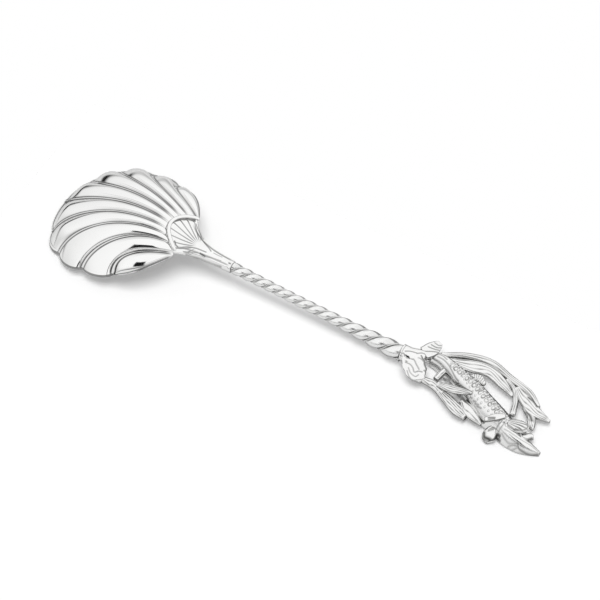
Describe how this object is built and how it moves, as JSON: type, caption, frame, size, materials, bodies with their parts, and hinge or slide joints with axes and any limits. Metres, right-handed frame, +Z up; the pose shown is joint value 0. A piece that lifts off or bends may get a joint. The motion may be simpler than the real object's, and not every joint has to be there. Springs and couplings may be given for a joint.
{
  "type": "caviar spoon",
  "caption": "Small serving spoon in polished silver: fluted shell bowl, fan heel, twisted rope stem and a cast finial of a sturgeon among kelp, lying face down.",
  "frame": {"origin": "middle of the spoon's footprint on the table it lies on, face down", "axes": "+X from the tip of the bowl to the snout of the sturgeon, +Y to the far side of the picture, +Z up from the table"},
  "size_m": [0.15, 0.0392, 0.0147],
  "materials": {
    "bowl_silver": "mirror-polished sterling silver",
    "heel_silver": "polished sterling silver",
    "rope_silver": "polished sterling silver, darkened in the grooves",
    "wire_silver": "drawn silver wire",
    "cast_silver": "cast and chased sterling silver, polished on the high points"
  },
  "bodies": {
    "root": {"shell_bowl": "bowl_silver", "heel_fan": "heel_silver", "heel_border": "heel_silver", "rope_strand_a": "rope_silver", "rope_strand_b": "rope_silver", "rope_wire_a": "wire_silver", "rope_wire_b": "wire_silver", "stem_sleeve": "heel_silver", "sturgeon_body": "cast_silver", "head_rosette": "cast_silver", "tail_lobe_near": "cast_silver", "tail_lobe_far": "cast_silver", "anal_fin": "cast_silver", "dorsal_fin": "cast_silver", "pectoral_fin_upper": "cast_silver", "pectoral_fin_near": "cast_silver", "pectoral_fin_far": "cast_silver", "kelp_stem_near": "cast_silver", "kelp_flank_blade": "cast_silver", "kelp_round_frond": "cast_silver", "kelp_pointed_leaf": "cast_silver", "kelp_outer_strand": "cast_silver", "kelp_hanging_blade": "cast_silver", "kelp_inner_strand": "cast_silver", "kelp_end_leaf": "cast_silver", "kelp_lower_leaf": "cast_silver"}
  },
  "joints": []
}
